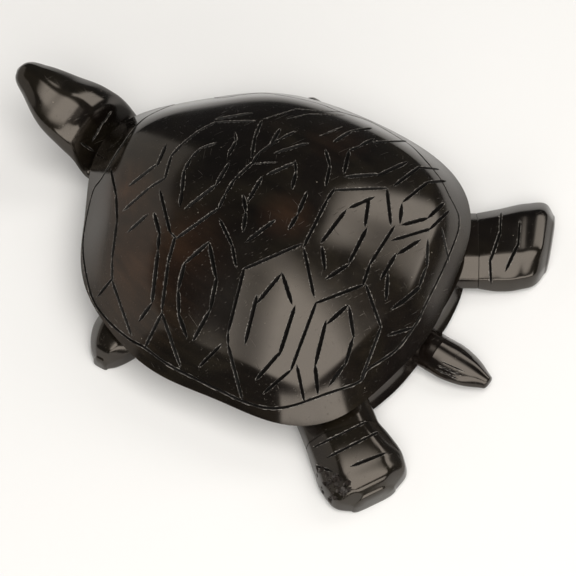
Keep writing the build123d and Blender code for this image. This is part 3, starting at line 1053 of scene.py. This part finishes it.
def block_mesh():
    """Belly block: three outlines, joined by a curve that draws the sides in half way up."""
    half_width = block_half_width()
    block_front = float(rim_radius(math.pi)) - front_overhang
    block_rear = float(rim_radius(0)) - rear_overhang

    def outline(draw_in, flare):
        wide = half_width - draw_in
        left = [(wide * x, (block_rear - draw_in + flare) * y) for x, y in block_rear_shares]
        left += [(wide * x, -(block_front - draw_in) * y) for x, y in block_front_shares]
        right = [(-x, y) for x, y in left[-2:0:-1]]
        return closed_curve(left + right, block_curve_steps)

    def ring(flat, height):
        return np.array([shell_ground + Vector((x, y, height)) for x, y in flat])

    low = outline(cove_depth, cove_depth + skirt_flare)
    waist = outline(cove_depth, waist_flare)
    high = outline(0, 0)
    rise = under_height - belly_height
    rings = [ring(low * (1 - under_chamfer / half_width), belly_height)]
    for t in np.linspace(under_chamfer / rise, 1, block_layers):
        flat = low * (1 - t) * (1 - 2 * t) + waist * 4 * t * (1 - t) + high * t * (2 * t - 1)
        rings.append(ring(flat, belly_height + rise * t))
    return mesh_from_rings("block", rings, rings[-1].mean(axis=0))


def body_mesh():
    """The body in one skin: the block and the stubs that carry the limbs."""
    seats = [form.seat() for form in leg_forms()]
    seats.append((neck_seat(), 180, neck_outline()))
    seats.append((tail_seat(), 0, tail_outline(*tail_shares[0][1:3])))
    collars = []
    for place, turn, outline in seats:
        root = place - way_out(turn) * collar_length
        rings = [place_ring(end, turn, outline) for end in (root, place)]
        collars.append(mesh_from_rings("collar", rings, rings[-1].mean(axis=0)))
    piece = new_object("body", block_mesh())
    combine(piece, collars, "UNION")
    return piece


def tree_of(mesh):
    """A search tree over a mesh, for shooting the camera's rays at it."""
    work = bmesh.new()
    work.from_mesh(mesh)
    tree = BVHTree.FromBMesh(work)
    work.free()
    return tree


def surface_path(tree, start, end, overshoot, step):
    """Places and normals on a mesh along a straight line in the picture."""
    start = np.array(start, float)
    end = np.array(end, float)
    count = max(3, int(np.linalg.norm(end - start) / step) + 1)
    path = []
    normals = []
    for t in np.linspace(0, 1, count):
        place, normal, _, _ = tree.ray_cast(eye_place(), pixel_ray(start + (end - start) * t))
        if place is not None:
            path.append(np.array(place))
            normals.append(np.array(normal))
    for index, other in ((0, 1), (-1, -2)):
        way = path[index] - path[other]
        extra = path[index] + way / np.linalg.norm(way) * overshoot
        if index == 0:
            path.insert(0, extra)
            normals.insert(0, normals[0])
        else:
            path.append(extra)
            normals.append(normals[-1])
    return np.array(path), np.array(normals)


def mesh_grooves(mesh, lines, settings, seed):
    """Solids for straight cuts drawn in the picture: each has two pixels and a depth."""
    chance = random.Random(seed)
    tree = tree_of(mesh)
    made = []
    for start, end, depth in lines:
        path, normals = surface_path(tree, start, end, settings.cut_depth, limb_step_px)
        made.append(groove_solid(path, normals, settings, depth, chance))
    return made


def inside(pixel, outline):
    """Whether a pixel lies inside a closed outline."""
    x, y = pixel
    within = False
    for (ax, ay), (bx, by) in zip(outline, outline[1:] + outline[:1]):
        if (ay > y) != (by > y) and x < (bx - ax) * (y - ay) / (by - ay) + ax:
            within = not within
    return within


def chip_solids(mesh, outline, seed):
    """Small flakes to break out of a surface inside an outline drawn in the picture."""
    chance = random.Random(seed)
    tree = tree_of(mesh)
    low = np.min(outline, axis=0)
    high = np.max(outline, axis=0)
    made = []
    while len(made) < chip_count:
        pixel = (chance.uniform(low[0], high[0]), chance.uniform(low[1], high[1]))
        if not inside(pixel, outline):
            continue
        place, normal, _, _ = tree.ray_cast(eye_place(), pixel_ray(pixel))
        if place is None:
            continue
        tilt = Vector([chance.uniform(-chip_tilt, chip_tilt) for _ in range(3)])
        axis = (normal + tilt).normalized()
        side = axis.orthogonal().normalized()
        side.rotate(Matrix.Rotation(chance.uniform(0, math.pi), 3, axis))
        across = axis.cross(side)
        wide = chip_width * chance.uniform(*chip_width_shares)
        narrow = wide * chance.uniform(*chip_narrow_shares)
        centre = place - normal * chip_sink * chance.uniform(*chip_sink_shares)
        count = chip_corners
        corners = []
        for height, flare in zip((0, chip_width), chip_flares):
            for turn in range(count):
                uneven = chance.uniform(-chip_uneven_turn, chip_uneven_turn)
                angle = math.radians(360 / count * turn + uneven)
                out = side * wide * math.cos(angle) + across * narrow * math.sin(angle)
                corners.append(centre + axis * height + out * flare)
        faces = [tuple(reversed(range(count))), tuple(range(count, 2 * count))]
        faces += [(k, (k + 1) % count, count + (k + 1) % count, count + k) for k in range(count)]
        chip = mesh_of("chip", corners, faces)
        face_outwards(chip)
        made.append(chip)
    return made


def node_tree(name):
    material = bpy.data.materials.new(name)
    material.use_nodes = True
    material.node_tree.nodes.clear()
    return material, material.node_tree


def add_node(tree, kind, **values):
    """A node with its settings and inputs, named as in the interface; sockets are linked."""
    node = tree.nodes.new(kind)
    for key, value in values.items():
        if hasattr(node, key):
            setattr(node, key, value)
        elif isinstance(value, bpy.types.NodeSocket):
            tree.links.new(value, node.inputs[key.replace("_", " ")])
        else:
            node.inputs[key.replace("_", " ")].default_value = value
    return node


def node_group(name, inputs, outputs):
    """An empty shader group with its sockets; inputs are name, kind and value."""
    tree = bpy.data.node_groups.new(name, "ShaderNodeTree")
    for label, kind, value in inputs:
        socket = tree.interface.new_socket(label, in_out="INPUT", socket_type=kind)
        socket.default_value = value
    for label, kind in outputs:
        tree.interface.new_socket(label, in_out="OUTPUT", socket_type=kind)
    return tree, tree.nodes.new("NodeGroupInput").outputs


def use_group(tree, group, **values):
    return add_node(tree, "ShaderNodeGroup", node_tree=group, **values).outputs


def calculate(tree, operation, first, second):
    """A sum of two sockets or numbers."""
    node = add_node(tree, "ShaderNodeMath", operation=operation)
    for slot, value in enumerate((first, second)):
        if isinstance(value, (int, float)):
            node.inputs[slot].default_value = value
        else:
            tree.links.new(value, node.inputs[slot])
    return node.outputs["Value"]


def object_place(tree):
    return tree.nodes.new("ShaderNodeTexCoord").outputs["Object"]


def with_vector(tree, operation, place, value):
    """A sum of a place and a fixed vector."""
    node = add_node(tree, "ShaderNodeVectorMath", operation=operation, Vector=place)
    node.inputs[1].default_value = value
    return node.outputs


def ramp_of(tree, factor, stops):
    """Colours along a factor; each stop is a place and a colour or a grey level."""
    stops = list(stops)
    node = add_node(tree, "ShaderNodeValToRGB", Fac=factor)
    elements = node.color_ramp.elements
    while len(elements) < len(stops):
        elements.new(0.5)
    for element, (place, colour) in zip(elements, stops):
        element.position = place
        element.color = (colour,) * 3 + (1,) if isinstance(colour, float) else (*colour, 1)
    return node.outputs["Color"]


def noise_of(tree, place, **values):
    return add_node(tree, "ShaderNodeTexNoise", Vector=place, **values).outputs["Fac"]


def blend_colours(tree, kind, factor, first, second):
    node = add_node(tree, "ShaderNodeMix", data_type="RGBA", blend_type=kind)
    inputs = {socket.identifier: socket for socket in node.inputs}
    for name, value in (("Factor_Float", factor), ("A_Color", first), ("B_Color", second)):
        if isinstance(value, bpy.types.NodeSocket):
            tree.links.new(value, inputs[name])
        else:
            inputs[name].default_value = value
    return next(socket for socket in node.outputs if socket.identifier == "Result_Color")


def bump_of(tree, height, strength, distance):
    node = add_node(tree, "ShaderNodeBump", Height=height, Strength=strength, Distance=distance)
    return node.outputs["Normal"]


def add_shader(tree, kind, **values):
    """The material's shader and its output."""
    shader = add_node(tree, kind, **values)
    add_node(tree, "ShaderNodeOutputMaterial", Surface=shader.outputs[0])


def scratches_group():
    """Fine scratches in one heading: a mask from streaks of noise."""
    tree, start = node_group(
        "fine_scratches",
        [("Heading", "NodeSocketVector", (0, 0, 0)), ("Rarity", "NodeSocketFloat", 0.7)],
        [("Mask", "NodeSocketFloat")],
    )
    place = object_place(tree)
    turned = add_node(tree, "ShaderNodeMapping", Vector=place, Rotation=start["Heading"])
    drawn = with_vector(tree, "MULTIPLY", turned.outputs["Vector"], scratch_stretch)["Vector"]
    streaks = noise_of(tree, drawn, Scale=1.0, Detail=1.0)
    over = calculate(tree, "SUBTRACT", streaks, start["Rarity"])
    mask = calculate(tree, "MULTIPLY", over, scratch_contrast)
    held = calculate(tree, "MINIMUM", calculate(tree, "MAXIMUM", mask, 0.0), 1.0)
    add_node(tree, "NodeGroupOutput", Mask=held)
    return tree


def horn_group(horn):
    """Dark horn: clouds of olive and brown, growth lines, smudges, scratches and pits."""
    tree, start = node_group(
        "dark_horn",
        [("Brown Share", "NodeSocketFloat", 1.0), ("Wear", "NodeSocketFloat", 1.0)],
        [
            ("Color", "NodeSocketColor"),
            ("Roughness", "NodeSocketFloat"),
            ("Height", "NodeSocketFloat"),
        ],
    )

    def sums(operation, first, second):
        return calculate(tree, operation, first, second)

    place = object_place(tree)
    clouds = noise_of(tree, place, Scale=cloud_scale, Detail=3.0, Distortion=0.8)
    olive = ramp_of(tree, clouds, zip(cloud_places, (horn.black, horn.olive, horn.black)))
    patches = noise_of(tree, place, Scale=patch_scale, Detail=2.0)
    patchy = ramp_of(tree, patches, patch_tones)
    amount = sums("MULTIPLY", patchy, start["Brown Share"])
    warm = blend_colours(tree, "MIX", amount, olive, (*horn.brown, 1))
    drawn = with_vector(tree, "MULTIPLY", place, growth_stretch)["Vector"]
    growth = noise_of(tree, drawn, Scale=1.0, Detail=3.0)
    bands = ramp_of(tree, growth, growth_tones)
    grown = blend_colours(tree, "MULTIPLY", 1.0, warm, bands)
    scratches = scratches_group()
    marks = 0.0
    for heading, rarity in scratch_headings:
        turn = (*scratch_tilt, heading)
        mask = use_group(tree, scratches, Heading=turn, Rarity=rarity)["Mask"]
        marks = sums("MAXIMUM", marks, mask)
    marks = sums("MULTIPLY", marks, start["Wear"])
    cells = add_node(tree, "ShaderNodeTexVoronoi", Vector=place, Scale=pit_scale)
    chosen = add_node(tree, "ShaderNodeSeparateColor", Color=cells.outputs["Color"])
    near = sums("LESS_THAN", cells.outputs["Distance"], pit_size)
    pits = sums("MULTIPLY", near, sums("GREATER_THAN", chosen.outputs["Red"], pit_rarity))
    dust = sums("MULTIPLY", pits, pit_paleness)
    dusty = blend_colours(tree, "MIX", dust, grown, (*horn.dust, 1))
    scuffs = sums("MULTIPLY", marks, scratch_paleness)
    smudges = noise_of(tree, place, Scale=smudge_scale, Detail=4.0)
    dull = sums("ADD", sums("MULTIPLY", smudges, smudge_roughness), least_roughness)
    ripples = noise_of(tree, place, Scale=ripple_scale, Detail=2.0)
    height = sums("SUBTRACT", sums("MULTIPLY", ripples, ripple_height), marks)
    add_node(
        tree,
        "NodeGroupOutput",
        Color=blend_colours(tree, "MIX", scuffs, dusty, (*horn.scratches, 1)),
        Roughness=sums("ADD", sums("MULTIPLY", marks, scratch_roughness), dull),
        Height=sums("SUBTRACT", height, sums("MULTIPLY", pits, pit_depth)),
    )
    return tree


def stain_mask(tree, stains, least):
    """How brown the horn is: a little everywhere, and more near some places."""
    total = least
    for centre, reach in stains:
        gap = with_vector(tree, "DISTANCE", object_place(tree), centre)["Value"]
        near = calculate(tree, "SUBTRACT", 1.0, calculate(tree, "DIVIDE", gap, reach))
        total = calculate(tree, "ADD", total, calculate(tree, "MAXIMUM", near, 0.0))
    return total


def horn_material(name, stains=()):
    """Polished dark horn, browner near its stains."""
    brown_share, wear = polished_finishes[name]
    colours = bpy.context.scene.turtle_horn
    material, tree = node_tree(name)
    group = bpy.data.node_groups.get("dark_horn") or horn_group(colours)
    brown = stain_mask(tree, stains, brown_share)
    horn = use_group(tree, group, Brown_Share=brown, Wear=wear)
    add_shader(
        tree,
        "ShaderNodeBsdfPrincipled",
        IOR=horn_index,
        Specular_Tint=(*colours.gloss, 1),
        Base_Color=horn["Color"],
        Roughness=horn["Roughness"],
        Normal=bump_of(tree, horn["Height"], horn_bump_strength, horn_bump),
    )
    return material


def raw_material(name):
    """Unpolished horn in a cut, or bare wood: a broken tone and a rough grain."""
    dark, light, roughness, grain_scale, gloss_index = raw_finishes[name]
    material, tree = node_tree(name)
    grain = noise_of(tree, object_place(tree), Scale=grain_scale, Detail=3.0, Roughness=0.7)
    add_shader(
        tree,
        "ShaderNodeBsdfPrincipled",
        IOR=gloss_index,
        Roughness=roughness,
        Base_Color=ramp_of(tree, grain, zip(raw_places, (dark, light))),
        Normal=bump_of(tree, grain, raw_bump_strength, raw_bump),
    )
    return material


def dress(meshes, *materials):
    for mesh in meshes:
        for material in materials:
            mesh.materials.append(material)


class CuttingSettings(bpy.types.PropertyGroup):
    wheel_radius: FloatProperty(
        name="Wheel radius",
        description="Radius of the V-edged wheel that cut the pattern",
        default=5.5 * mm,
        unit="LENGTH",
    )
    cut_depth: FloatProperty(
        name="Cut depth",
        description="Greatest depth of a cut",
        default=0.6 * mm,
        unit="LENGTH",
    )
    cut_slope: FloatProperty(
        name="Cut slope",
        description="Half width of a cut over its depth",
        default=0.86,
    )
    edge_width: FloatProperty(
        name="Edge width",
        description="Width of the frosted edge beside a cut",
        default=0.12 * mm,
        unit="LENGTH",
    )
    seed: IntProperty(
        name="Seed",
        description="Chooses the small unevenness of the cuts",
        default=7,
    )


class HornSettings(bpy.types.PropertyGroup):
    black: FloatVectorProperty(
        name="Black",
        description="Ground colour of the horn",
        default=(0.0016, 0.0014, 0.0013),
        subtype="COLOR",
    )
    olive: FloatVectorProperty(
        name="Olive",
        description="Colour of the clouds in the horn",
        default=(0.006, 0.0052, 0.0034),
        subtype="COLOR",
    )
    brown: FloatVectorProperty(
        name="Brown",
        description="Colour of the stains",
        default=(0.022, 0.011, 0.006),
        subtype="COLOR",
    )
    gloss: FloatVectorProperty(
        name="Gloss",
        description="Tint of the reflections",
        default=(1.0, 0.91, 0.83),
        subtype="COLOR",
    )
    dust: FloatVectorProperty(
        name="Dust",
        description="Colour of the dust in the pits",
        default=(0.20, 0.18, 0.15),
        subtype="COLOR",
    )
    scratches: FloatVectorProperty(
        name="Scratches",
        description="Colour of the fine scratches",
        default=(0.06, 0.055, 0.05),
        subtype="COLOR",
    )


class StageSettings(bpy.types.PropertyGroup):
    key_level: FloatProperty(
        name="Key level",
        description="Brightness of the softbox in its core",
        default=3.5,
    )
    room_level: FloatProperty(
        name="Room level",
        description="Brightness of the dim room around the stage",
        default=0.07,
    )
    lamp_colour: FloatVectorProperty(
        name="Lamp colour",
        description="Colour of the lamps",
        default=(1.0, 0.955, 0.885),
        subtype="COLOR",
    )
    floor_colour: FloatVectorProperty(
        name="Floor colour",
        description="Colour of the pale floor",
        default=(0.77, 0.785, 0.81),
        subtype="COLOR",
    )


class TURTLE_OT_carve_shell(bpy.types.Operator):
    """Make the domed shell and cut its pattern"""

    bl_idname = "turtle.carve_shell"
    bl_label = "Carve shell"

    def execute(self, context):
        settings = context.scene.turtle_cutting
        add_ridges()
        piece = new_object("shell", make_dome_mesh())
        stains = [(pixel_on_dome(pixel), reach) for pixel, reach in stains_px]
        horn = horn_material("shell_horn", stains)
        dress([piece.data], horn, horn_material("shell_bevel"))
        cutters = pattern_grooves(settings)
        dress(cutters, raw_material("shell_cut"), raw_material("shell_cut_edge"))
        combine(piece, cutters)
        smooth_with_creases(piece.data, math.radians(shell_crease))
        set_dome_normals(piece.data)
        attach(piece, "root")
        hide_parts("carapace")
        return {"FINISHED"}


class TURTLE_OT_carve_limbs(bpy.types.Operator):
    """Make the four legs, the head and the tail, with their folds and cuts"""

    bl_idname = "turtle.carve_limbs"
    bl_label = "Carve limbs"

    def execute(self, context):
        settings = context.scene.turtle_cutting
        made = {form.node: form.mesh() for form in leg_forms()}
        made["head_and_neck"] = head_mesh()
        made["tail"] = tail_mesh()
        cut = bpy.data.materials["shell_cut"]
        edge = bpy.data.materials["shell_cut_edge"]
        horn = horn_material("limb_horn")
        for number, (node, mesh) in enumerate(made.items()):
            piece = new_object(node.replace("_and_neck", "") + "_carved", mesh)
            dress([mesh], horn)
            if node in limb_cuts_px:
                seed = settings.seed + number
                cutters = mesh_grooves(mesh, limb_cuts_px[node], settings, seed)
                dress(cutters, cut, edge)
                combine(piece, cutters)
            if node == "rear_left_leg":
                chips = chip_solids(piece.data, chipped_patch_px, settings.seed)
                dress(chips, raw_material("chipped_horn"))
                combine(piece, chips)
            smooth_with_creases(piece.data, math.radians(limb_crease))
            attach(piece, "root")
            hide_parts(node)
        return {"FINISHED"}


class TURTLE_OT_carve_body(bpy.types.Operator):
    """Make the body under the shell in one smooth skin"""

    bl_idname = "turtle.carve_body"
    bl_label = "Carve body"

    def execute(self, context):
        piece = body_mesh()
        piece.data.materials.clear()
        dress([piece.data], horn_material("body_horn"))
        smooth_with_creases(piece.data, math.radians(body_crease))
        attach(piece, "root")
        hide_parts("body_block")
        return {"FINISHED"}


class TURTLE_OT_dress_pegs(bpy.types.Operator):
    """Give the hidden pegs their bare wood"""

    bl_idname = "turtle.dress_pegs"
    bl_label = "Dress pegs"

    def execute(self, context):
        wood = raw_material("peg_wood")
        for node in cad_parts.values():
            node.data.materials.clear()
            dress([node.data], wood)
        return {"FINISHED"}


def facing(place, along):
    """Where a flat thing stands that faces the object, with its height along a direction."""
    back = Vector(place).normalized()
    up = (along - back * along.dot(back)).normalized()
    return Matrix.Translation(place) @ Matrix((up.cross(back), up, back)).transposed().to_4x4()


def flat_sheet(name, half_width, half_height):
    x = half_width
    y = half_height
    corners = [(-x, -y, 0), (x, -y, 0), (x, y, 0), (-x, y, 0)]
    return new_object(name, mesh_of(name, corners, [(0, 1, 2, 3)]))


def add_softbox(name, size, soft, level):
    """A glowing sheet that is brightest in its middle and fades towards its edges."""
    halves = (size[0] / 2, size[1] / 2)
    box = flat_sheet(name, *halves)
    material, tree = node_tree(name)
    place = add_node(tree, "ShaderNodeSeparateXYZ", Vector=object_place(tree))
    share = 1.0
    for axis, reach in zip("XY", halves):
        far = calculate(tree, "ABSOLUTE", place.outputs[axis], 0.0)
        left = calculate(tree, "DIVIDE", calculate(tree, "SUBTRACT", reach, far), soft)
        share = calculate(tree, "MULTIPLY", share, calculate(tree, "MINIMUM", left, 1.0))
    glow = calculate(tree, "MULTIPLY", share, level)
    colour = (*bpy.context.scene.turtle_stage.lamp_colour, 1)
    add_shader(tree, "ShaderNodeEmission", Color=colour, Strength=glow)
    dress([box.data], material)
    return box


def add_lamp(name, place, size, level):
    """A rectangular lamp facing the object, with an even brightness."""
    data = bpy.data.lights.new(name, "AREA")
    data.shape = "RECTANGLE"
    data.size, data.size_y = size
    data.energy = level * math.pi * size[0] * size[1]
    data.color = bpy.context.scene.turtle_stage.lamp_colour
    new_object(name, data).matrix_world = facing(place, Vector((0, 0, 1)))


def add_floor(colour):
    floor = flat_sheet("floor", floor_half_side, floor_half_side)
    material, tree = node_tree("floor_paper")
    base = (*colour, 1)
    add_shader(tree, "ShaderNodeBsdfPrincipled", Base_Color=base, Roughness=floor_roughness)
    dress([floor.data], material)


def add_camera(scene):
    data = bpy.data.cameras.new("camera")
    data.lens = lens_length
    data.sensor_width = sensor_width
    data.shift_x = (picture_width / 2 - shell_middle_px[0]) / picture_width
    data.shift_y = (shell_middle_px[1] - picture_width / 2) / picture_width
    data.clip_start = near_clip
    camera = new_object("camera", data)
    camera.location = eye_place()
    camera.rotation_euler = (-view_axes()[0]).to_track_quat("-Z", "Y").to_euler()
    scene.camera = camera


def direction(azimuth, zenith):
    """Direction from the object, by its angle from +X towards +Y and the one from straight up."""
    turn = math.radians(azimuth)
    lean = math.radians(zenith)
    level = Vector((math.cos(turn), math.sin(turn), 0))
    return level * math.sin(lean) + Vector((0, 0, math.cos(lean)))


class TURTLE_OT_set_stage(bpy.types.Operator):
    """Add the floor, the softboxes and the camera"""

    bl_idname = "turtle.set_stage"
    bl_label = "Set stage"

    def execute(self, context):
        scene = context.scene
        settings = scene.turtle_stage
        key = settings.key_level
        add_camera(scene)
        add_floor(settings.floor_colour)
        turn = Matrix.Rotation(math.radians(ceiling_turn), 4, "Z")
        middle = turn @ Vector((*ceiling_size, 0)) / 2 + Vector(ceiling_corner)
        softbox = add_softbox("ceiling_box", ceiling_size, ceiling_soft, key)
        softbox.matrix_world = Matrix.Translation(middle) @ turn
        low_end, high_end = (direction(*end) for end in strip_ends)
        strip = (strip_width, (high_end - low_end).length)
        softbox = add_softbox("side_box", strip, strip_soft, key * strip_level_share)
        softbox.matrix_world = facing((low_end + high_end) / 2, high_end - low_end)
        add_lamp("wall_lamp", direction(*wall_way) * wall_distance, wall_size, key)
        front = direction(*front_way) * front_distance
        add_lamp("front_lamp", front, front_size, key * front_level_share)
        scene.world = bpy.data.worlds.new("room")
        scene.world.use_nodes = True
        room = scene.world.node_tree.nodes["Background"]
        room.inputs["Color"].default_value = (1, 1, 1, 1)
        room.inputs["Strength"].default_value = settings.room_level
        scene.view_settings.view_transform = "Standard"
        return {"FINISHED"}


class TURTLE_PT_sidebar(bpy.types.Panel):
    bl_label = "Carved turtle"
    bl_idname = "TURTLE_PT_sidebar"
    bl_space_type = "VIEW_3D"
    bl_region_type = "UI"
    bl_category = "Turtle"

    def draw(self, context):
        for kind in operators:
            self.layout.operator(kind.bl_idname)


operators = (
    TURTLE_OT_carve_shell,
    TURTLE_OT_carve_limbs,
    TURTLE_OT_carve_body,
    TURTLE_OT_dress_pegs,
    TURTLE_OT_set_stage,
)
setting_groups = {
    "turtle_cutting": CuttingSettings,
    "turtle_horn": HornSettings,
    "turtle_stage": StageSettings,
}


def register():
    for kind in (*setting_groups.values(), *operators, TURTLE_PT_sidebar):
        bpy.utils.register_class(kind)
    for name, group in setting_groups.items():
        setattr(bpy.types.Scene, name, PointerProperty(type=group))


def unregister():
    for name in setting_groups:
        delattr(bpy.types.Scene, name)
    for kind in reversed((*setting_groups.values(), *operators, TURTLE_PT_sidebar)):
        bpy.utils.unregister_class(kind)


def main():
    register()
    bpy.ops.turtle.carve_shell()
    bpy.ops.turtle.carve_limbs()
    bpy.ops.turtle.carve_body()
    bpy.ops.turtle.dress_pegs()
    bpy.ops.turtle.set_stage()


if __name__ == "__main__":
    main()
